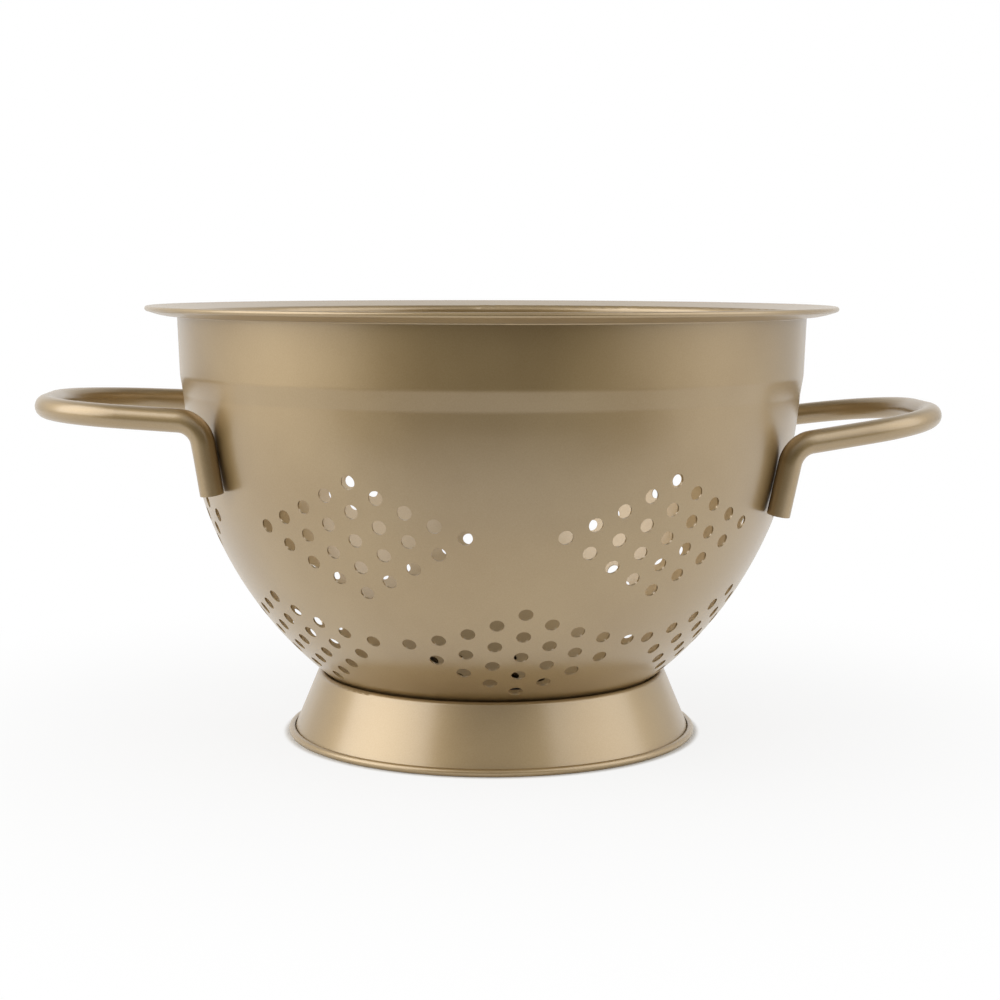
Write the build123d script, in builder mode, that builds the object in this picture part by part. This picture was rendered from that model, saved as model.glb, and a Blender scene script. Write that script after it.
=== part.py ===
from build123d import *
import os
from math import acos, asin, atan, cos, degrees, hypot, radians, sin, tan

# A two-handled colander in satin gold painted steel: a pressed bowl with a rolled rim and
# diamonds of drain holes, a flared foot ring under it and two bent bar handles on its wall.
# Millimetres. +Z is up, the handles lie along X, and -Y is the front. The origin is the
# centre of the circle on which the foot rests.

# Sheet and joints
bowl_sheet = 0.6
foot_sheet = 0.7
weld_gap = 0.1
cut_overrun = 2.0

# Rim: an outward flange, folded under at its edge and rolled back towards the wall
rim_radius = 122.5
rim_height = 153.8
rim_fold_bore_radius = 0.3
flange_rise = 12.0
flange_root_radius = 1.6
hem_slope = 18.0
hem_straight_length = 2.2
hem_bow_radius = 24.0
hem_bow_turn = 14.0

# Upright band of the wall under the rim, and the small step below it
band_top_radius = 111.4
band_lean = 2.0
step_top_height = 129.7
step_lean = 9.3
step_drop = 6.7
step_top_bend = 9.0
step_bottom_bend = 14.0

# Bowl curve, from the step down: the wide upper arc, the tighter knee, the lower arc, then
# the heel that runs into the flat floor
shoulder_lean = 4.7
upper_arc_radius = 208.0
knee_top_height = 87.2
knee_radius = 76.5
knee_bottom_height = 80.0
lower_arc_radius = 133.0
heel_start_radius = 44.0
heel_radius = 30.0

# Drain holes in the wall: two bands of diamonds. The pitches are measured on the wall,
# down it and across it, between neighbouring holes of one diamond.
hole_radius = 2.4
diamond_side = 5
upper_diamond_top = 100.2
upper_down_pitch = 4.88
upper_across_pitch = 9.06
upper_corner_lift = 2.2
lower_diamond_top = 57.1
lower_down_pitch = 4.87
lower_across_pitch = 8.93
lower_corner_lift = 5.3

# How far each diamond is turned about Z, in degrees, from its even place. The lower ones
# start at the front and the upper ones halfway to the next, both towards +X.
upper_diamond_turns = (0.1, 0.9, 0.9, 0.9, 0.9, 1.6)
lower_diamond_turns = (3.6, 1.4, 2.6, 2.6, 2.6, 2.7)

# Drain holes in the floor and heel: rings about a centre hole
floor_ring_pitch = 10.4
floor_ring_count = 5
floor_first_ring_holes = 6

# Foot ring: a flared cone with a seat turned in on top, which lies along the bowl, and a
# curl rolled out and up below
foot_radius = 73.7
foot_height = 22.7
foot_flare = 22.7
foot_curl_bore_radius = 0.65
foot_curl_turn = 282.0
foot_land_depth = 0.12
seat_length = 4.5
seat_bend_bore_radius = 0.9

# Handles: round bar, two legs down the wall and a tapered loop with round corners
bar_radius = 4.0
leg_half_angle = 28.4
loop_reach = 160.3
loop_tip_half_width = 39.0
loop_corner_radius = 39.0
leg_bend_radius = 8.6

# Each handle's own heights, at the leg ends, at the bend and at the tip of the loop
left_leg_end_height = 92.0
left_bend_height = 116.3
left_tip_height = 119.1
right_leg_end_height = 83.9
right_bend_height = 108.0
right_tip_height = 115.5


def direction(angle):
    """Unit vector in the profile plane, at an angle in degrees above the outward direction."""
    return Vector(cos(radians(angle)), sin(radians(angle)))


# The bowl's outer profile is written in the plane X = radius, Y = height.
rim_fold_radius = rim_fold_bore_radius + bowl_sheet
rim_fold_centre = Vector(rim_radius - rim_fold_radius, rim_height - rim_fold_radius)
fold_start = rim_fold_centre + direction(flange_rise + 90) * rim_fold_bore_radius

# Corner where the flange's underside meets the upright band
band_slope = tan(radians(band_lean))
flange_slope = tan(radians(flange_rise))
corner_height = fold_start.Y - (fold_start.X - band_top_radius) * flange_slope
flange_corner = Vector(band_top_radius, corner_height)
step_top = Vector(band_top_radius - (corner_height - step_top_height) * band_slope, step_top_height)
step_bottom = step_top - Vector(step_drop * tan(radians(step_lean)), step_drop)

# The lower bend of the step ends on the shoulder line, and the upper arc starts there
shoulder_tangent = step_bottom_bend * tan(radians((step_lean - shoulder_lean) / 2))
shoulder = step_bottom - direction(90 - shoulder_lean) * shoulder_tangent

# Centres of the three arcs, which share tangents where they join
upper_centre = shoulder - direction(-shoulder_lean) * upper_arc_radius
knee_top_angle = degrees(asin((knee_top_height - upper_centre.Y) / upper_arc_radius))
knee_top = upper_centre + direction(knee_top_angle) * upper_arc_radius
knee_centre = knee_top - direction(knee_top_angle) * knee_radius
knee_bottom_angle = degrees(asin((knee_bottom_height - knee_centre.Y) / knee_radius))
knee_bottom = knee_centre + direction(knee_bottom_angle) * knee_radius
knee_length = radians(knee_top_angle - knee_bottom_angle) * knee_radius
lower_centre = knee_bottom - direction(knee_bottom_angle) * lower_arc_radius
heel_angle = degrees(asin((heel_start_radius - lower_centre.X) / lower_arc_radius)) - 90
heel_start = lower_centre + direction(heel_angle) * lower_arc_radius
heel_centre = heel_start - direction(heel_angle) * heel_radius
floor_start = heel_centre + direction(-90) * heel_radius
floor_height = floor_start.Y


def wall_distance_at(height):
    """Distance along the curve from the bottom of the knee, upwards, at a height."""
    if height > knee_top_height:
        angle = degrees(asin((height - upper_centre.Y) / upper_arc_radius))
        return knee_length + radians(angle - knee_top_angle) * upper_arc_radius
    if height > knee_bottom_height:
        angle = degrees(asin((height - knee_centre.Y) / knee_radius))
        return radians(angle - knee_bottom_angle) * knee_radius
    angle = degrees(asin((height - lower_centre.Y) / lower_arc_radius))
    return radians(angle - knee_bottom_angle) * lower_arc_radius


def wall_at(distance):
    """Point of the outer curve and its normal's angle, at a distance from the knee's bottom."""
    if distance > knee_length:
        angle = knee_top_angle + degrees((distance - knee_length) / upper_arc_radius)
        return upper_centre + direction(angle) * upper_arc_radius, angle
    if distance > 0:
        angle = knee_bottom_angle + degrees(distance / knee_radius)
        return knee_centre + direction(angle) * knee_radius, angle
    angle = knee_bottom_angle + degrees(distance / lower_arc_radius)
    if angle > heel_angle:
        return lower_centre + direction(angle) * lower_arc_radius, angle
    angle = heel_angle + (angle - heel_angle) * lower_arc_radius / heel_radius
    return heel_centre + direction(angle) * heel_radius, angle


def hole_plane(point, normal_angle, azimuth):
    """Plane of one hole: point and normal in the profile, turned about Z from the front."""
    around = radians(azimuth)
    outward = Vector(sin(around), -cos(around), 0)
    normal = outward * cos(radians(normal_angle)) + Vector(0, 0, sin(radians(normal_angle)))
    return Plane(origin=outward * point.X + Vector(0, 0, point.Y), z_dir=normal)


def diamond_planes(top, down_pitch, across_pitch, corner_lift, middle):
    """Planes of one diamond's holes. Rows run down the wall, and their ends lift."""
    planes = []
    last = diamond_side - 1
    for right in range(diamond_side):
        for left in range(diamond_side):
            row = right + left
            across = right - left
            lift = corner_lift * (across / last) ** 2
            row_middle = wall_at(wall_distance_at(top) - row * down_pitch)[0]
            point, angle = wall_at(wall_distance_at(top) - row * down_pitch + lift)
            azimuth = middle + degrees(across * across_pitch / row_middle.X)
            planes.append(hole_plane(point, angle, azimuth))
    return planes


# Wall holes: the lower diamonds stand between the upper ones
wall_hole_planes = []
for index, turn in enumerate(lower_diamond_turns):
    lower_middle = index * 360 / len(lower_diamond_turns) + turn
    wall_hole_planes += diamond_planes(
        lower_diamond_top, lower_down_pitch, lower_across_pitch, lower_corner_lift, lower_middle
    )
upper_step = 360 / len(upper_diamond_turns)
for index, turn in enumerate(upper_diamond_turns):
    upper_middle = index * upper_step + upper_step / 2 + turn
    wall_hole_planes += diamond_planes(
        upper_diamond_top, upper_down_pitch, upper_across_pitch, upper_corner_lift, upper_middle
    )

# Floor holes: distances are measured on the sheet from the centre, so the outer rings
# climb the heel and the start of the curve
floor_hole_planes = [Plane(origin=(0, 0, floor_height), z_dir=(0, 0, -1))]
heel_length = radians(heel_angle + 90) * heel_radius
for ring in range(1, floor_ring_count + 1):
    reach = ring * floor_ring_pitch
    if reach < floor_start.X:
        ring_point, ring_normal = Vector(reach, floor_height), -90.0
    elif reach < floor_start.X + heel_length:
        ring_normal = -90 + degrees((reach - floor_start.X) / heel_radius)
        ring_point = heel_centre + direction(ring_normal) * heel_radius
    else:
        ring_normal = heel_angle + degrees((reach - floor_start.X - heel_length) / lower_arc_radius)
        ring_point = lower_centre + direction(ring_normal) * lower_arc_radius
    holes_in_ring = floor_first_ring_holes * ring
    for index in range(holes_in_ring):
        floor_hole_planes.append(hole_plane(ring_point, ring_normal, index * 360 / holes_in_ring))


def sheet_face(start, heading, steps, shift):
    """Draw one face of a bent sheet, moved sideways by the shift, and return its two ends.
    Each step is a straight length, then a bend's radius and turn, positive to the left."""
    first = start + direction(heading + 90) * shift
    point = first
    for length, radius, turn in steps:
        if length > 0:
            point = Line(point, point + direction(heading) * length) @ 1
        shifted_radius = radius - shift if turn > 0 else radius + shift
        point = JernArc(point, direction(heading), shifted_radius, turn) @ 1
        heading += turn
    return first, point


def sheet_section(start, heading, steps, thickness):
    """Draw the closed outline of a bent sheet's section. A negative thickness lies right."""
    near_start, near_end = sheet_face(start, heading, steps, 0)
    far_start, far_end = sheet_face(start, heading, steps, thickness)
    Line(near_start, far_start)
    Line(near_end, far_end)


# Bowl's outer face from the middle of the floor to the end of the rim's hem
root_turn = flange_rise + band_lean - 90
root_tangent = flange_root_radius * tan(radians(-root_turn / 2))
step_top_tangent = step_top_bend * tan(radians((step_lean - band_lean) / 2))
step_length = (step_top - step_bottom).length - shoulder_tangent - step_top_tangent
band_length = (flange_corner - step_top).length - step_top_tangent - root_tangent
flange_length = (fold_start - flange_corner).length - root_tangent
bowl_steps = [
    (floor_start.X, heel_radius, heel_angle + 90),
    (0, lower_arc_radius, knee_bottom_angle - heel_angle),
    (0, knee_radius, knee_top_angle - knee_bottom_angle),
    (0, upper_arc_radius, -shoulder_lean - knee_top_angle),
    (0, step_bottom_bend, shoulder_lean - step_lean),
    (step_length, step_top_bend, step_lean - band_lean),
    (band_length, flange_root_radius, root_turn),
    (flange_length, rim_fold_bore_radius, hem_slope - flange_rise - 180),
    (hem_straight_length, hem_bow_radius, -hem_bow_turn),
]

with BuildPart() as bowl:
    with BuildSketch(Plane.XZ):
        with BuildLine():
            sheet_section(Vector(0, floor_height), 0, bowl_steps, bowl_sheet)
        make_face()
    revolve(axis=Axis.Z)
    with Locations(*wall_hole_planes, *floor_hole_planes):
        Cylinder(hole_radius, 2 * (bowl_sheet + cut_overrun), mode=Mode.SUBTRACT)
bowl.part.label = "bowl"


# Foot ring profile: cone outside and the inside of the curl
foot_curl_radius = foot_curl_bore_radius + foot_sheet
foot_curl_centre = Vector(foot_radius - foot_curl_radius, foot_curl_radius - foot_land_depth)
cone_bottom = foot_curl_centre + direction(180 + foot_flare) * foot_curl_bore_radius
cone_length = (foot_height - cone_bottom.Y) / cos(radians(foot_flare))
cone_top = cone_bottom + direction(90 + foot_flare) * cone_length

# Bend between the seat and the cone. Its top is level with the foot's height.
seat_bend_radius = seat_bend_bore_radius + foot_sheet
seat_bend_tangent = seat_bend_radius * tan(radians((90 - foot_flare) / 2))
seat_bend_centre = cone_top - Vector(seat_bend_tangent, seat_bend_radius)

# The seat's free end lies on a circle a weld gap outside the bowl's lower arc. The triangle
# of that circle's centre, the bend's centre and the seat's end gives the seat's slope.
to_bend = seat_bend_centre - lower_centre
bend_distance = to_bend.length
bend_angle = degrees(asin(to_bend.Y / bend_distance))
seat_reach = hypot(seat_bend_radius, seat_length)
seat_circle_radius = lower_arc_radius + weld_gap
cosine = (seat_circle_radius**2 - bend_distance**2 - seat_reach**2) / (2 * bend_distance * seat_reach)
seat_slope = 270 + bend_angle - degrees(acos(cosine)) - degrees(atan(seat_length / seat_bend_radius))
seat_bend_start = seat_bend_centre + direction(90 + seat_slope) * seat_bend_radius
seat_end = seat_bend_start - direction(seat_slope) * seat_length

# Foot ring's outer face from the seat's free end to the end of the foot curl
foot_steps = [
    (seat_length, seat_bend_radius, foot_flare - 90 - seat_slope),
    (cone_length - seat_bend_tangent, foot_curl_bore_radius, foot_curl_turn),
]

with BuildPart() as foot_ring:
    with BuildSketch(Plane.XZ):
        with BuildLine():
            sheet_section(seat_end, seat_slope, foot_steps, -foot_sheet)
        make_face()
    revolve(axis=Axis.Z)
    split(bisect_by=Plane.XY, keep=Keep.TOP)
foot_ring.part.label = "foot_ring"


def leg_point(seat_height, height):
    """Point on a leg's axis at a height, in the profile plane. The axis runs along the wall
    and is tangent to it, a bar's radius and a weld gap out, at the seat height."""
    reach = upper_arc_radius + bar_radius + weld_gap
    seat_angle = degrees(asin((seat_height - upper_centre.Y) / reach))
    seat = upper_centre + direction(seat_angle) * reach
    return Vector(seat.X - (height - seat.Y) * tan(radians(seat_angle)), height)


def handle_route(outward, leg_end_height, bend_height, tip_height):
    """Corner points of a handle's axis, from one leg end round the loop to the other."""
    seat_height = (leg_end_height + bend_height) / 2
    around = radians(leg_half_angle)
    half = []
    for height in (leg_end_height, bend_height):
        radius = leg_point(seat_height, height).X
        half.append((radius * cos(around), radius * sin(around), height))
    half.append((loop_reach - bar_radius, loop_tip_half_width, tip_height))
    near = [Vector(outward * x, -y, z) for x, y, z in half]
    far = [Vector(outward * x, y, z) for x, y, z in reversed(half)]
    return near + far


def make_handle(label, route):
    """Bar swept round a handle's route, with the bends at the legs and the loop's corners."""
    with BuildPart() as handle:
        with BuildLine() as axis_line:
            FilletPolyline(
                *route,
                radius=[leg_bend_radius, loop_corner_radius, loop_corner_radius, leg_bend_radius],
            )
        with BuildSketch(Plane(origin=axis_line.line @ 0, z_dir=axis_line.line % 0)):
            Circle(bar_radius)
        sweep()
    handle.part.label = label
    return handle


left_route = handle_route(-1, left_leg_end_height, left_bend_height, left_tip_height)
right_route = handle_route(1, right_leg_end_height, right_bend_height, right_tip_height)
handle_left = make_handle("handle_left", left_route)
handle_right = make_handle("handle_right", right_route)

os.makedirs("parts", exist_ok=True)
export_step(bowl.part, "parts/bowl.step")
export_step(foot_ring.part, "parts/foot_ring.step")
export_step(handle_left.part, "parts/handle_left.step")
export_step(handle_right.part, "parts/handle_right.step")
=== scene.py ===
from math import cos, pi, radians, sin

import bpy
import numpy as np
from mathutils import Matrix, Vector

bl_info = {
    "name": "Two-handled colander",
    "version": (1, 0, 0),
    "blender": (4, 5, 0),
    "location": "3D Viewport > Sidebar > Colander",
    "description": "Satin gold paint, floor, lamps and camera for a footed steel colander",
    "category": "Object",
}

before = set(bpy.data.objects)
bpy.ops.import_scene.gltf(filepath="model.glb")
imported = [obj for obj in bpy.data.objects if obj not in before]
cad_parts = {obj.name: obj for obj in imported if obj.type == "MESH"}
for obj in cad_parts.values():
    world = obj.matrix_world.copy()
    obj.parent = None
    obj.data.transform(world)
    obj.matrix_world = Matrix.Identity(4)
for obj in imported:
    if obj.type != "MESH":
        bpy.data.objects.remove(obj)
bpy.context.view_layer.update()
MM = 0.001

# Zones of the room, as the ray's share along Y or Z where each starts and where it is full
FRONT_ZONE = (-0.92, -0.1)
CEILING_ZONE = (0.1, 0.7)
FRONT_FLOOR_ZONE = (-0.17, -0.5)
BACKDROP_ZONE = (0.5, 0.88)
OVERHEAD_ZONE = (0.72, 0.95)

# Share of the flat white in the paper's look, next to the object and from the shadow's end
# on, and where the soft shadow starts to fade, as a share of its reach
NEAR_WHITE = 0.82
FAR_WHITE = 1.0
FADE_START_SHARE = 0.2
PAPER_COLOUR = "#E2E2E0"

# Weight of the grain beside the spray clouds in the flake's share, and the range of the
# noise over which that share and the roughness run from their least to their most
GRAIN_WEIGHT = 0.55
FLAKE_RANGE = (0.55, 1.0)
CLOUD_RANGE = (0.3, 0.7)


def linear(hex_colour):
    """Turn an sRGB hex colour into linear red, green and blue."""
    parts = [int(hex_colour[i:i + 2], 16) / 255 for i in (1, 3, 5)]
    return tuple(c / 12.92 if c <= 0.04045 else ((c + 0.055) / 1.055) ** 2.4 for c in parts)


def add_node(tree, kind, settings=None, inputs=None, links=None):
    """Add one node. Settings are its properties, inputs its socket values, and links join
    an output socket of another node to an input here."""
    node = tree.nodes.new(kind)
    for name, value in (settings or {}).items():
        setattr(node, name, value)
    for name, value in (inputs or {}).items():
        node.inputs[name].default_value = value
    for name, output in (links or {}).items():
        tree.links.new(output, node.inputs[name])
    return node


def new_tree(name):
    """Make an empty material and return it with its node tree."""
    material = bpy.data.materials.new(name)
    material.use_nodes = True
    material.node_tree.nodes.clear()
    return material, material.node_tree


class ColanderPaint(bpy.types.PropertyGroup):
    """Satin gold paint on the steel"""

    colour: bpy.props.FloatVectorProperty(
        name="Gold", description="Colour of the metal flake paint", subtype="COLOR",
        size=3, min=0, max=1, default=linear("#AD9467"))
    shade: bpy.props.FloatVectorProperty(
        name="Deep gold", description="Colour where the flake lies thinner", subtype="COLOR",
        size=3, min=0, max=1, default=linear("#A1875A"))
    roughness: bpy.props.FloatProperty(
        name="Roughness", description="Spread of the satin reflection", subtype="FACTOR",
        min=0, max=1, default=0.5)
    metal: bpy.props.FloatProperty(
        name="Metal share", description="How much of the paint shines like metal flake",
        subtype="FACTOR", min=0, max=1, default=0.8)
    film: bpy.props.FloatProperty(
        name="Clear film", description="Strength of the clear film over the flake",
        subtype="FACTOR", min=0, max=1, default=0.8)
    film_roughness: bpy.props.FloatProperty(
        name="Film roughness", description="Spread of the clear film's reflection",
        subtype="FACTOR", min=0, max=1, default=0.24)
    film_ior: bpy.props.FloatProperty(
        name="Film index", description="Refractive index of the clear film", min=1, default=2.0)
    unevenness: bpy.props.FloatProperty(
        name="Unevenness", description="How far the roughness varies over the spray clouds",
        subtype="FACTOR", min=0, max=1, default=0.025)
    flake: bpy.props.FloatProperty(
        name="Flake grain", description="Size of the grain that the flake gives",
        unit="LENGTH", subtype="DISTANCE", min=0.0001, default=0.45 * MM)
    peel: bpy.props.FloatProperty(
        name="Orange peel", description="Width of the ripples of the sprayed film",
        unit="LENGTH", subtype="DISTANCE", min=0.0001, default=1.6 * MM)
    peel_depth: bpy.props.FloatProperty(
        name="Peel depth", description="Height of the ripples of the sprayed film",
        unit="LENGTH", subtype="DISTANCE", min=0, default=0.006 * MM)
    cloud: bpy.props.FloatProperty(
        name="Spray cloud", description="Width of the uneven patches that spraying leaves",
        unit="LENGTH", subtype="DISTANCE", min=0.001, default=38 * MM)


class ColanderStage(bpy.types.PropertyGroup):
    """Camera, lamps and floor"""

    distance: bpy.props.FloatProperty(
        name="Camera distance", description="Level distance from the bowl's axis",
        unit="LENGTH", subtype="DISTANCE", default=709.5 * MM)
    height: bpy.props.FloatProperty(
        name="Camera height", description="Height of the lens over the floor",
        unit="LENGTH", subtype="DISTANCE", default=166.1 * MM)
    side: bpy.props.FloatProperty(
        name="Camera side", description="How far the lens stands to the right of the axis",
        unit="LENGTH", subtype="DISTANCE", default=2.975 * MM)
    turn: bpy.props.FloatProperty(
        name="Turn", description="Angle of the view about the bowl's axis",
        subtype="ANGLE", default=radians(-3.61))
    pitch: bpy.props.FloatProperty(
        name="Pitch", description="How far the camera looks down",
        subtype="ANGLE", default=0.1157)
    roll: bpy.props.FloatProperty(
        name="Roll", description="Tilt of the camera about its line of sight",
        subtype="ANGLE", default=0.002)
    lens: bpy.props.FloatProperty(
        name="Focal length", description="Focal length in millimetres on a 36 mm sensor",
        min=1, default=71.07)
    paper_width: bpy.props.FloatProperty(
        name="Paper width", description="Width of the white paper under the bowl",
        unit="LENGTH", subtype="DISTANCE", default=1.6)
    paper_front: bpy.props.FloatProperty(
        name="Paper front", description="How far the paper reaches towards the camera",
        unit="LENGTH", subtype="DISTANCE", default=0.3)
    paper_back: bpy.props.FloatProperty(
        name="Paper back", description="How far the paper reaches behind the bowl",
        unit="LENGTH", subtype="DISTANCE", default=1.2)
    shadow_radius: bpy.props.FloatProperty(
        name="Shadow reach", description="How far from the middle the floor shows shadow",
        unit="LENGTH", subtype="DISTANCE", default=0.3)
    contact: bpy.props.FloatProperty(
        name="Contact shadow", description="Width of the paper round the foot that stays dark",
        unit="LENGTH", subtype="DISTANCE", default=2.5 * MM)
    room: bpy.props.FloatProperty(
        name="Room light", description="Brightness of the room behind the camera",
        min=0, default=0.02)
    front_floor: bpy.props.FloatProperty(
        name="Front floor", description="Brightness of the room's floor in front of the paper",
        min=0, default=1.1)
    ceiling: bpy.props.FloatProperty(
        name="Ceiling light", description="Brightness of the ceiling",
        min=0, default=0.5)
    overhead: bpy.props.FloatProperty(
        name="Overhead share", description="Share of the room's light that is left overhead",
        subtype="FACTOR", min=0, max=1, default=0.3)
    walls: bpy.props.FloatProperty(
        name="Wall light", description="Brightness of the white walls at the sides and back",
        min=0, default=0.74)
    box_distance: bpy.props.FloatProperty(
        name="Side box distance", description="Distance of the side soft boxes from the bowl",
        unit="LENGTH", subtype="DISTANCE", default=1.6)
    box_size: bpy.props.FloatProperty(
        name="Side box size", description="Width and height of the side soft boxes",
        unit="LENGTH", subtype="DISTANCE", default=1.75)
    box_elevation: bpy.props.FloatProperty(
        name="Side box elevation", description="Angle of the side soft boxes above the floor",
        subtype="ANGLE", default=radians(30))
    left_azimuth: bpy.props.FloatProperty(
        name="Left box azimuth", description="Angle of the left soft box from the front",
        subtype="ANGLE", default=radians(-74))
    right_azimuth: bpy.props.FloatProperty(
        name="Right box azimuth", description="Angle of the right soft box from the front",
        subtype="ANGLE", default=radians(66))
    top_distance: bpy.props.FloatProperty(
        name="Top box distance", description="Distance of the overhead soft box from the bowl",
        unit="LENGTH", subtype="DISTANCE", default=1.8)
    top_size: bpy.props.FloatProperty(
        name="Top box size", description="Width and height of the overhead soft box",
        unit="LENGTH", subtype="DISTANCE", default=1.4)
    top_elevation: bpy.props.FloatProperty(
        name="Top box elevation", description="Angle of the overhead soft box above the floor",
        subtype="ANGLE", default=radians(62))
    left_lamp: bpy.props.FloatProperty(
        name="Left soft box", description="Power of the soft box on the left, in watts",
        min=0, default=20)
    right_lamp: bpy.props.FloatProperty(
        name="Right soft box", description="Power of the soft box on the right, in watts",
        min=0, default=12.5)
    top_lamp: bpy.props.FloatProperty(
        name="Top soft box", description="Power of the soft box overhead, in watts",
        min=0, default=1.5)


def satin_gold(name, paint):
    """Metal flake enamel sprayed on steel and baked: a warm grey gold whose flake shines
    like rough metal under a thin clear film, with a faint grain and a soft orange peel."""
    material, tree = new_tree(name)
    place = add_node(tree, "ShaderNodeTexCoord").outputs["Object"]
    grain = add_node(tree, "ShaderNodeTexNoise", inputs={
        "Scale": 1 / paint.flake, "Detail": 2.0, "Roughness": 0.6}, links={"Vector": place})
    cloud = add_node(tree, "ShaderNodeTexNoise", inputs={
        "Scale": 1 / paint.cloud, "Detail": 3.0, "Roughness": 0.5}, links={"Vector": place})
    peel = add_node(tree, "ShaderNodeTexNoise", inputs={
        "Scale": 1 / paint.peel, "Detail": 1.0, "Roughness": 0.4}, links={"Vector": place})
    thin = add_node(tree, "ShaderNodeMath", {"operation": "MULTIPLY_ADD"}, {1: GRAIN_WEIGHT}, {
        0: grain.outputs["Fac"], 2: cloud.outputs["Fac"]})
    share = add_node(tree, "ShaderNodeMapRange", inputs={
        "From Min": FLAKE_RANGE[0], "From Max": FLAKE_RANGE[1]}, links={
        "Value": thin.outputs[0]})
    colour = add_node(tree, "ShaderNodeMix", {"data_type": "RGBA"}, links={
        "Factor": share.outputs[0]})
    colour.inputs["A"].default_value = (*paint.shade, 1)
    colour.inputs["B"].default_value = (*paint.colour, 1)
    spread = add_node(tree, "ShaderNodeMapRange", inputs={
        "From Min": CLOUD_RANGE[0], "From Max": CLOUD_RANGE[1],
        "To Min": paint.roughness - paint.unevenness,
        "To Max": paint.roughness + paint.unevenness}, links={"Value": cloud.outputs["Fac"]})
    bump = add_node(tree, "ShaderNodeBump", inputs={
        "Strength": 1.0, "Distance": paint.peel_depth}, links={"Height": peel.outputs["Fac"]})
    shader = add_node(tree, "ShaderNodeBsdfPrincipled", inputs={
        "Metallic": paint.metal, "Coat Weight": paint.film,
        "Coat Roughness": paint.film_roughness, "Coat IOR": paint.film_ior}, links={
        "Base Color": colour.outputs["Result"], "Roughness": spread.outputs[0],
        "Normal": bump.outputs[0]})
    add_node(tree, "ShaderNodeOutputMaterial", links={"Surface": shader.outputs[0]})
    return material


def dress(node_name, material):
    """Give a CAD node's object one material in all its slots."""
    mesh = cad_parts[node_name].data
    mesh.materials.clear()
    mesh.materials.append(material)


class COLANDER_OT_bowl(bpy.types.Operator):
    """Paint the pressed bowl"""

    bl_idname = "colander.bowl"
    bl_label = "Bowl"

    def execute(self, context):
        dress("bowl", satin_gold("Satin gold enamel on pressed steel", context.scene.colander_paint))
        return {"FINISHED"}


class COLANDER_OT_foot(bpy.types.Operator):
    """Paint the foot ring"""

    bl_idname = "colander.foot"
    bl_label = "Foot ring"

    def execute(self, context):
        dress("foot_ring", satin_gold("Satin gold enamel on spun steel", context.scene.colander_paint))
        return {"FINISHED"}


class COLANDER_OT_handles(bpy.types.Operator):
    """Paint the two bent bar handles"""

    bl_idname = "colander.handles"
    bl_label = "Handles"

    def execute(self, context):
        paint = satin_gold("Satin gold enamel on bent steel bar", context.scene.colander_paint)
        dress("handle_left", paint)
        dress("handle_right", paint)
        return {"FINISHED"}


def seen_directly(tree):
    """Return a share that is 1 for rays from the camera, reflections and glass."""
    path = add_node(tree, "ShaderNodeLightPath")
    both = add_node(tree, "ShaderNodeMath", {"operation": "MAXIMUM"}, links={
        0: path.outputs["Is Camera Ray"], 1: path.outputs["Is Glossy Ray"]})
    return add_node(tree, "ShaderNodeMath", {"operation": "MAXIMUM"}, links={
        0: both.outputs[0], 1: path.outputs["Is Transmission Ray"]}).outputs[0]


def floor_material(stage):
    """Matt white paper, seen as pure white away from the object, with a light shadow near it
    and a full one against the foot and inside it."""
    material, tree = new_tree("Matt white paper")
    place = add_node(tree, "ShaderNodeTexCoord").outputs["Object"]
    length = add_node(tree, "ShaderNodeVectorMath", {"operation": "LENGTH"}, links={0: place})
    far = add_node(tree, "ShaderNodeMapRange", {"interpolation_type": "SMOOTHSTEP"}, {
        "From Min": FADE_START_SHARE * stage.shadow_radius, "From Max": stage.shadow_radius,
        "To Min": NEAR_WHITE, "To Max": FAR_WHITE}, {"Value": length.outputs["Value"]})
    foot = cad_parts["foot_ring"].dimensions.x / 2
    outside = add_node(tree, "ShaderNodeMapRange", {"interpolation_type": "SMOOTHSTEP"}, {
        "From Min": foot, "From Max": foot + stage.contact}, {"Value": length.outputs["Value"]})
    white_share = add_node(tree, "ShaderNodeMath", {"operation": "MULTIPLY"}, links={
        0: far.outputs[0], 1: outside.outputs[0]})
    share = add_node(tree, "ShaderNodeMath", {"operation": "MULTIPLY"}, links={
        0: white_share.outputs[0], 1: seen_directly(tree)})
    paper = add_node(tree, "ShaderNodeBsdfDiffuse", inputs={"Color": (*linear(PAPER_COLOUR), 1)})
    white = add_node(tree, "ShaderNodeEmission", inputs={"Color": (1, 1, 1, 1), "Strength": 1.0})
    mix = add_node(tree, "ShaderNodeMixShader", links={
        0: share.outputs[0], 1: paper.outputs[0], 2: white.outputs[0]})
    add_node(tree, "ShaderNodeOutputMaterial", links={"Surface": mix.outputs[0]})
    return material


def sheet(name, width, front, back, columns=33, rows=33):
    """Flat paper: a grid of x across half the width each way and y from -front to back."""
    x, y = np.meshgrid(np.linspace(-width / 2, width / 2, columns), np.linspace(-front, back, rows))
    points = np.column_stack([x.ravel(), y.ravel(), np.zeros(x.size)])
    corner = (np.arange(rows - 1)[:, None] * columns + np.arange(columns - 1)).ravel()
    quads = np.column_stack([corner, corner + 1, corner + columns + 1, corner + columns])
    mesh = bpy.data.meshes.new(name)
    mesh.from_pydata(points.tolist(), [], quads.tolist())
    item = bpy.data.objects.new(name, mesh)
    bpy.context.scene.collection.objects.link(item)
    return item


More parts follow.
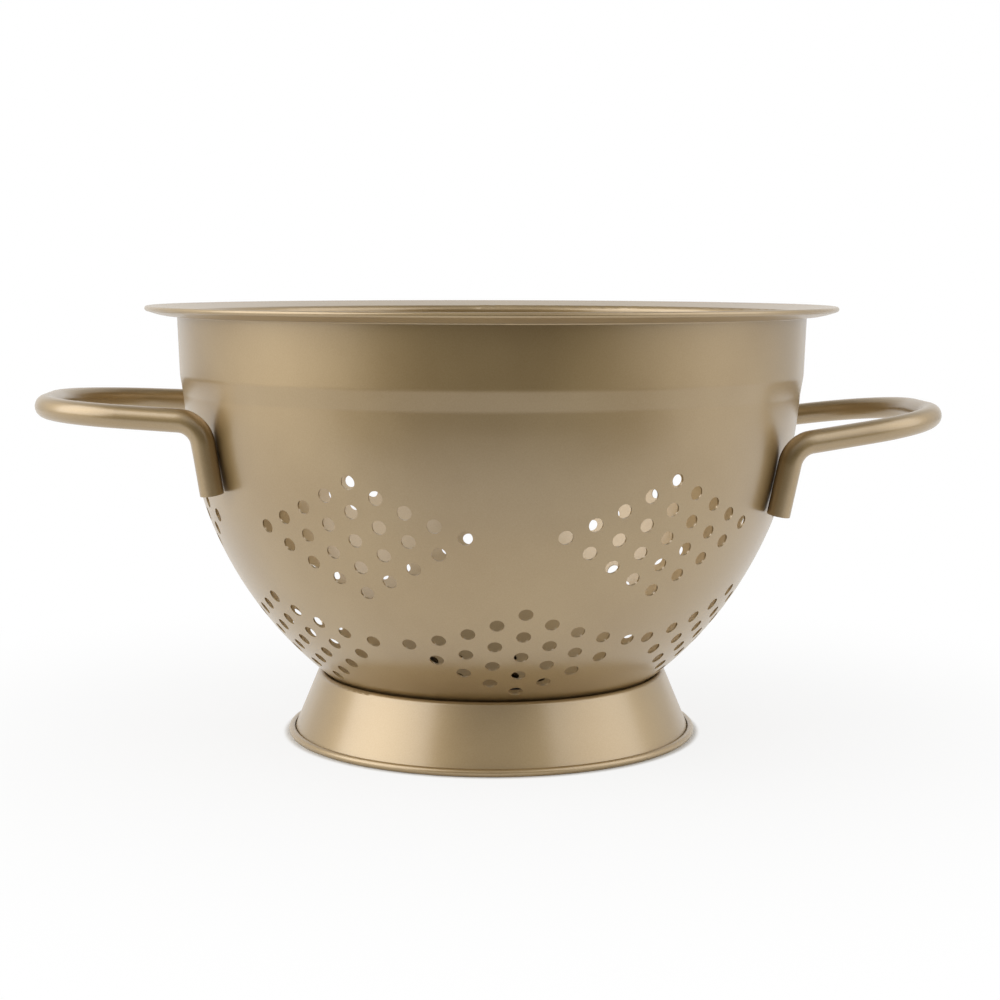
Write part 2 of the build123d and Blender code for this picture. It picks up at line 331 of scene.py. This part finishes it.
def soft_box(name, azimuth, elevation, distance, size, power):
    """Square area lamp that faces the bowl. Azimuth 0 is the camera's side, -Y, and it
    grows towards +X."""
    target = Vector((0, 0, 80 * MM))
    away = Vector((sin(azimuth), -cos(azimuth), 0)) * cos(elevation)
    away.z = sin(elevation)
    lamp = bpy.data.lights.new(name, "AREA")
    lamp.shape = "SQUARE"
    lamp.size = size
    lamp.energy = power
    item = bpy.data.objects.new(name, lamp)
    item.location = target + away * distance
    item.rotation_euler = away.to_track_quat("Z", "Y").to_euler()
    bpy.context.scene.collection.objects.link(item)
    return item


def studio_world(stage):
    """Pale walls at the sides and back, a grey ceiling that is darker overhead, and a dark
    room with a bright floor behind the camera, which the front of the bowl reflects. The
    backdrop behind the bowl is pure white to the camera, to reflections and through glass."""
    world = bpy.data.worlds.new("Studio")
    bpy.context.scene.world = world
    world.use_nodes = True
    tree = world.node_tree
    tree.nodes.clear()
    ray = add_node(tree, "ShaderNodeTexCoord").outputs["Generated"]
    parts = add_node(tree, "ShaderNodeSeparateXYZ", links={0: ray})
    level = add_node(tree, "ShaderNodeMapRange", {"interpolation_type": "SMOOTHSTEP"}, {
        "From Min": FRONT_ZONE[0], "From Max": FRONT_ZONE[1],
        "To Min": stage.room, "To Max": stage.walls},
        {"Value": parts.outputs["Y"]})
    over = add_node(tree, "ShaderNodeMapRange", {"interpolation_type": "SMOOTHSTEP"}, {
        "From Min": CEILING_ZONE[0], "From Max": CEILING_ZONE[1], "To Max": stage.ceiling},
        {"Value": parts.outputs["Z"]})
    under = add_node(tree, "ShaderNodeMapRange", {"interpolation_type": "SMOOTHSTEP"}, {
        "From Min": FRONT_FLOOR_ZONE[1], "From Max": FRONT_FLOOR_ZONE[0],
        "To Min": stage.front_floor, "To Max": 0.0}, {"Value": parts.outputs["Z"]})
    both = add_node(tree, "ShaderNodeMath", {"operation": "MAXIMUM"}, links={
        0: over.outputs[0], 1: under.outputs[0]})
    bright = add_node(tree, "ShaderNodeMath", {"operation": "MAXIMUM"}, links={
        0: level.outputs[0], 1: both.outputs[0]})
    dim = add_node(tree, "ShaderNodeMapRange", {"interpolation_type": "SMOOTHSTEP"}, {
        "From Min": OVERHEAD_ZONE[0], "From Max": OVERHEAD_ZONE[1],
        "To Min": 1.0, "To Max": stage.overhead}, {"Value": parts.outputs["Z"]})
    room = add_node(tree, "ShaderNodeMath", {"operation": "MULTIPLY"}, links={
        0: bright.outputs[0], 1: dim.outputs[0]})
    behind = add_node(tree, "ShaderNodeMapRange", {"interpolation_type": "SMOOTHSTEP"}, {
        "From Min": BACKDROP_ZONE[0], "From Max": BACKDROP_ZONE[1]},
        {"Value": parts.outputs["Y"]})
    path = add_node(tree, "ShaderNodeLightPath")
    backdrop = add_node(tree, "ShaderNodeMath", {"operation": "MAXIMUM"}, links={
        0: path.outputs["Is Camera Ray"], 1: behind.outputs[0]})
    seen = add_node(tree, "ShaderNodeMath", {"operation": "MULTIPLY"}, links={
        0: seen_directly(tree), 1: backdrop.outputs[0]})
    white = add_node(tree, "ShaderNodeMath", {"operation": "MAXIMUM"}, links={
        0: room.outputs[0], 1: seen.outputs[0]})
    light = add_node(tree, "ShaderNodeBackground", inputs={"Color": (1, 1, 1, 1)}, links={
        "Strength": white.outputs[0]})
    add_node(tree, "ShaderNodeOutputWorld", links={"Surface": light.outputs[0]})


def place_camera(stage):
    """Camera at a level distance and height from the bowl's axis, turned about it."""
    lens = bpy.data.cameras.new("Camera")
    lens.sensor_width = 36
    lens.lens = stage.lens
    lens.clip_start = 0.01
    camera = bpy.data.objects.new("Camera", lens)
    bpy.context.scene.collection.objects.link(camera)
    turn = Matrix.Rotation(stage.turn, 4, "Z")
    stand = Matrix.Translation((stage.side, -stage.distance, stage.height))
    look = Matrix.Rotation(pi / 2 - stage.pitch, 4, "X") @ Matrix.Rotation(stage.roll, 4, "Z")
    camera.matrix_world = turn @ stand @ look
    bpy.context.scene.camera = camera


class COLANDER_OT_stage(bpy.types.Operator):
    """Make the floor, the soft boxes, the room light and the camera"""

    bl_idname = "colander.stage"
    bl_label = "Stage"

    def execute(self, context):
        stage = context.scene.colander_stage
        floor = sheet("floor", stage.paper_width, stage.paper_front, stage.paper_back)
        floor.data.materials.append(floor_material(stage))
        side = (stage.box_elevation, stage.box_distance, stage.box_size)
        top = (stage.top_elevation, stage.top_distance, stage.top_size)
        soft_box("soft_box_left", stage.left_azimuth, *side, stage.left_lamp)
        soft_box("soft_box_right", stage.right_azimuth, *side, stage.right_lamp)
        soft_box("soft_box_top", 0, *top, stage.top_lamp)
        studio_world(stage)
        place_camera(stage)
        context.scene.view_settings.view_transform = "Standard"
        return {"FINISHED"}


class COLANDER_PT_panel(bpy.types.Panel):
    """Lists the colander's pieces and its stage"""

    bl_idname = "COLANDER_PT_panel"
    bl_label = "Colander"
    bl_space_type = "VIEW_3D"
    bl_region_type = "UI"
    bl_category = "Colander"

    def draw(self, context):
        layout = self.layout
        for group in (context.scene.colander_paint, context.scene.colander_stage):
            box = layout.box()
            for name in group.__annotations__:
                box.prop(group, name)
        for operator in OPERATORS:
            layout.operator(operator.bl_idname)


OPERATORS = (COLANDER_OT_bowl, COLANDER_OT_foot, COLANDER_OT_handles, COLANDER_OT_stage)
CLASSES = (ColanderPaint, ColanderStage, *OPERATORS, COLANDER_PT_panel)


def register():
    """Register the classes and hang the settings on the scene."""
    for cls in CLASSES:
        bpy.utils.register_class(cls)
    bpy.types.Scene.colander_paint = bpy.props.PointerProperty(type=ColanderPaint)
    bpy.types.Scene.colander_stage = bpy.props.PointerProperty(type=ColanderStage)


def unregister():
    """Take the settings and classes away again."""
    del bpy.types.Scene.colander_stage
    del bpy.types.Scene.colander_paint
    for cls in reversed(CLASSES):
        bpy.utils.unregister_class(cls)


def main():
    register()
    bpy.ops.colander.bowl()
    bpy.ops.colander.foot()
    bpy.ops.colander.handles()
    bpy.ops.colander.stage()


if __name__ == "__main__":
    main()
